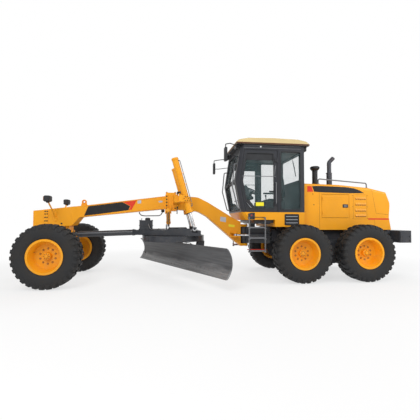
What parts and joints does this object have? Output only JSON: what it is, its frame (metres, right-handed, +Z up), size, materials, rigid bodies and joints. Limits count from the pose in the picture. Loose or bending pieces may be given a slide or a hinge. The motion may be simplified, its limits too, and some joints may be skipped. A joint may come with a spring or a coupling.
{
  "type": "motor grader",
  "caption": "Motor grader with articulated frame, cab, tandem rear wheels, steered leaning front wheels and a turning, shifting, pitching blade.",
  "frame": {"origin": "on the ground below the middle of the whole machine's box", "axes": "+X forward, +Y to the machine's left, +Z up"},
  "size_m": [9.08, 3.8422, 3.3599],
  "materials": {
    "yellow_paint": "gloss",
    "cream_paint": "satin",
    "dark_paint": "satin",
    "cab_paint": "satin",
    "worn_steel": "worn",
    "chrome_rod": "polished",
    "cast_iron": "rough",
    "tyre_rubber": "matte",
    "glass": "clear",
    "black_plastic": "matte",
    "seat_fabric": "woven",
    "exhaust_steel": "heat darkened"
  },
  "bodies": {
    "rear_frame": {"rear_frame": "dark_paint", "rear_axle": "dark_paint", "engine": "cast_iron", "hood": "yellow_paint", "rear_ballast": "dark_paint", "exhaust": "exhaust_steel", "precleaner": "black_plastic", "cab_base": "yellow_paint", "cab": "cab_paint", "cab_roof": "cream_paint", "cab_glass": "glass", "seat": "seat_fabric", "console": "black_plastic", "steps_and_rails": "dark_paint", "mirrors": "black_plastic", "work_lamps": "black_plastic"},
    "front_frame": {"front_frame": "yellow_paint", "saddle": "yellow_paint", "headlamps": "black_plastic", "front_axle": "dark_paint"},
    "cab_door_left": {"cab_door_left": "cab_paint", "door_glass_left": "glass"},
    "cab_door_right": {"cab_door_right": "cab_paint", "door_glass_right": "glass"},
    "engine_door_left": {"engine_door_left": "yellow_paint"},
    "engine_door_right": {"engine_door_right": "yellow_paint"},
    "lean_bracket_left": {"lean_bracket_left": "dark_paint"},
    "lean_bracket_right": {"lean_bracket_right": "dark_paint"},
    "lean_bar": {"lean_bar": "dark_paint"},
    "knuckle_left": {"knuckle_left": "dark_paint"},
    "knuckle_right": {"knuckle_right": "dark_paint"},
    "steering_joint": {"steering_joint": "dark_paint"},
    "steering_rod": {"steering_rod": "dark_paint"},
    "drawbar": {"drawbar": "dark_paint", "circle_drive": "dark_paint"},
    "circle": {"circle": "dark_paint"},
    "blade_carriage": {"blade_carriage": "dark_paint"},
    "moldboard": {"moldboard": "worn_steel"},
    "lift_barrel_left": {"lift_barrel_left": "yellow_paint"},
    "lift_rod_left": {"lift_rod_left": "chrome_rod"},
    "lift_barrel_right": {"lift_barrel_right": "yellow_paint"},
    "lift_rod_right": {"lift_rod_right": "chrome_rod"},
    "centre_shift_barrel": {"centre_shift_barrel": "yellow_paint"},
    "centre_shift_rod": {"centre_shift_rod": "chrome_rod"},
    "artic_barrel_left": {"artic_barrel_left": "dark_paint"},
    "artic_rod_left": {"artic_rod_left": "chrome_rod"},
    "artic_barrel_right": {"artic_barrel_right": "dark_paint"},
    "artic_rod_right": {"artic_rod_right": "chrome_rod"},
    "wheel_front_left": {"rim_front_left": "yellow_paint", "tyre_front_left": "tyre_rubber"},
    "wheel_front_right": {"rim_front_right": "yellow_paint", "tyre_front_right": "tyre_rubber"},
    "wheel_mid_left": {"rim_mid_left": "yellow_paint", "tyre_mid_left": "tyre_rubber"},
    "wheel_mid_right": {"rim_mid_right": "yellow_paint", "tyre_mid_right": "tyre_rubber"},
    "wheel_rear_left": {"rim_rear_left": "yellow_paint", "tyre_rear_left": "tyre_rubber"},
    "wheel_rear_right": {"rim_rear_right": "yellow_paint", "tyre_rear_right": "tyre_rubber"}
  },
  "joints": [
    {"name": "articulation", "type": "hinge", "parent": "rear_frame", "child": "front_frame", "pos_m": [-0.48, 0, 1.05], "axis": [0, 0, -1], "range_deg": [-25, 25]},
    {"name": "lean_left", "type": "hinge", "parent": "front_frame", "child": "lean_bracket_left", "pos_m": [3.87, 0.64, 0.66], "axis": [1, 0, 0], "range_deg": [-17, 17]},
    {"name": "steer_left", "type": "hinge", "parent": "lean_bracket_left", "child": "knuckle_left", "pos_m": [3.87, 0.87, 0.66], "axis": [0, 0, -1], "range_deg": [-49, 49]},
    {"name": "lean_right", "type": "hinge", "parent": "front_frame", "child": "lean_bracket_right", "pos_m": [3.87, -0.64, 0.66], "axis": [1, 0, 0], "range_deg": [-17, 17]},
    {"name": "steer_right", "type": "hinge", "parent": "lean_bracket_right", "child": "knuckle_right", "pos_m": [3.87, -0.87, 0.66], "axis": [0, 0, -1], "range_deg": [-49, 49]},
    {"name": "lean_bar_pivot", "type": "hinge", "parent": "lean_bracket_left", "child": "lean_bar", "pos_m": [3.988, 0.64, 0.95], "axis": [1, 0, 0], "range_deg": [-17.5, 17.5]},
    {"name": "steering_joint_turn", "type": "hinge", "parent": "knuckle_left", "child": "steering_joint", "pos_m": [3.72, 0.83, 0.485], "axis": [0, 0, -1], "range_deg": [-49.5, 49.5]},
    {"name": "steering_rod_tilt", "type": "hinge", "parent": "steering_joint", "child": "steering_rod", "pos_m": [3.72, 0.83, 0.485], "axis": [1, 0, 0], "range_deg": [-13.5, 13.5]},
    {"name": "wheel_front_left_spin", "type": "hinge", "parent": "knuckle_left", "child": "wheel_front_left", "pos_m": [3.87, 1.078, 0.66], "axis": [0, 1, 0], "continuous": true},
    {"name": "wheel_front_right_spin", "type": "hinge", "parent": "knuckle_right", "child": "wheel_front_right", "pos_m": [3.87, -1.078, 0.66], "axis": [0, 1, 0], "continuous": true},
    {"name": "wheel_mid_left_spin", "type": "hinge", "parent": "rear_frame", "child": "wheel_mid_left", "pos_m": [-1.578, 1.078, 0.66], "axis": [0, 1, 0], "continuous": true},
    {"name": "wheel_mid_right_spin", "type": "hinge", "parent": "rear_frame", "child": "wheel_mid_right", "pos_m": [-1.578, -1.078, 0.66], "axis": [0, 1, 0], "continuous": true},
    {"name": "wheel_rear_left_spin", "type": "hinge", "parent": "rear_frame", "child": "wheel_rear_left", "pos_m": [-3.12, 1.078, 0.66], "axis": [0, 1, 0], "continuous": true},
    {"name": "wheel_rear_right_spin", "type": "hinge", "parent": "rear_frame", "child": "wheel_rear_right", "pos_m": [-3.12, -1.078, 0.66], "axis": [0, 1, 0], "continuous": true},
    {"name": "drawbar_lift", "type": "hinge", "parent": "front_frame", "child": "drawbar", "pos_m": [3.69, 0, 1.06], "axis": [0, 1, 0], "range_deg": [-18.1, 5]},
    {"name": "circle_turn", "type": "hinge", "parent": "drawbar", "child": "circle", "pos_m": [1.32, 0, 0.96], "axis": [0, 0, 1], "range_deg": [-82, 25]},
    {"name": "blade_pitch", "type": "hinge", "parent": "circle", "child": "blade_carriage", "pos_m": [1.09086, -0.12286, 0.42], "axis": [-0.4726, 0.8813, 0], "range_deg": [-5, 47]},
    {"name": "blade_shift", "type": "slide", "parent": "blade_carriage", "child": "moldboard", "axis": [-0.4726, 0.8813, 0], "range_m": [-0.673, 0.673]},
    {"name": "lift_swing_left", "type": "hinge", "parent": "front_frame", "child": "lift_barrel_left", "pos_m": [1.04, 0.69, 1.9], "axis": [0, 1, 0], "range_deg": [-14, 4.5]},
    {"name": "lift_stroke_left", "type": "slide", "parent": "lift_barrel_left", "child": "lift_rod_left", "axis": [-0.2747, 0, -0.9615], "range_m": [-0.25, 0.88]},
    {"name": "lift_swing_right", "type": "hinge", "parent": "front_frame", "child": "lift_barrel_right", "pos_m": [1.04, -0.69, 1.9], "axis": [0, 1, 0], "range_deg": [-14, 4.5]},
    {"name": "lift_stroke_right", "type": "slide", "parent": "lift_barrel_right", "child": "lift_rod_right", "axis": [-0.2747, 0, -0.9615], "range_m": [-0.25, 0.88]},
    {"name": "centre_shift_swing", "type": "hinge", "parent": "front_frame", "child": "centre_shift_barrel", "pos_m": [1.45, 0.33, 1.6], "axis": [1, 0, 0], "range_deg": [-9.5, 32.5]},
    {"name": "centre_shift_stroke", "type": "slide", "parent": "centre_shift_barrel", "child": "centre_shift_rod", "axis": [0, -0.8944, -0.4472], "range_m": [-0.135, 0.48]},
    {"name": "artic_swing_left", "type": "hinge", "parent": "rear_frame", "child": "artic_barrel_left", "pos_m": [-1.05, 0.36, 1.05], "axis": [0, 0, -1], "range_deg": [-8, 8]},
    {"name": "artic_stroke_left", "type": "slide", "parent": "artic_barrel_left", "child": "artic_rod_left", "axis": [0.9994, -0.0353, 0], "range_m": [-0.15, 0.15]},
    {"name": "artic_swing_right", "type": "hinge", "parent": "rear_frame", "child": "artic_barrel_right", "pos_m": [-1.05, -0.36, 1.05], "axis": [0, 0, -1], "range_deg": [-8, 8]},
    {"name": "artic_stroke_right", "type": "slide", "parent": "artic_barrel_right", "child": "artic_rod_right", "axis": [0.9994, 0.0353, 0], "range_m": [-0.15, 0.15]},
    {"name": "cab_door_left_hinge", "type": "hinge", "parent": "rear_frame", "child": "cab_door_left", "pos_m": [-1.108, 0.814, 2.3], "axis": [0, 0, 1], "range_deg": [0, 88]},
    {"name": "engine_door_left_hinge", "type": "hinge", "parent": "rear_frame", "child": "engine_door_left", "pos_m": [-2.34, 0.608, 1.77], "axis": [0, 0, -1], "range_deg": [0, 95]},
    {"name": "cab_door_right_hinge", "type": "hinge", "parent": "rear_frame", "child": "cab_door_right", "pos_m": [-1.108, -0.814, 2.3], "axis": [0, 0, -1], "range_deg": [0, 88]},
    {"name": "engine_door_right_hinge", "type": "hinge", "parent": "rear_frame", "child": "engine_door_right", "pos_m": [-2.34, -0.608, 1.77], "axis": [0, 0, 1], "range_deg": [0, 95]}
  ],
  "couplings": [
    {"joint": "lean_right", "follows": "lean_left", "ratio": 1},
    {"joint": "steer_right", "follows": "steer_left", "ratio": 1},
    {"joint": "lean_bar_pivot", "follows": "lean_left", "ratio": -1},
    {"joint": "steering_joint_turn", "follows": "steer_left", "ratio": -1},
    {"joint": "steering_rod_tilt", "follows": "lean_left", "ratio": -0.772},
    {"joint": "lift_swing_left", "follows": "drawbar_lift", "ratio": 0.72},
    {"joint": "lift_stroke_left", "follows": "drawbar_lift", "m_per_rad": -2.75},
    {"joint": "lift_swing_right", "follows": "drawbar_lift", "ratio": 0.72},
    {"joint": "lift_stroke_right", "follows": "drawbar_lift", "m_per_rad": -2.75},
    {"joint": "centre_shift_swing", "follows": "drawbar_lift", "ratio": -1.75},
    {"joint": "centre_shift_stroke", "follows": "drawbar_lift", "m_per_rad": -1.5},
    {"joint": "artic_swing_left", "follows": "articulation", "ratio": 0.306},
    {"joint": "artic_stroke_left", "follows": "articulation", "m_per_rad": 0.336},
    {"joint": "artic_swing_right", "follows": "articulation", "ratio": 0.306},
    {"joint": "artic_stroke_right", "follows": "articulation", "m_per_rad": -0.336}
  ]
}
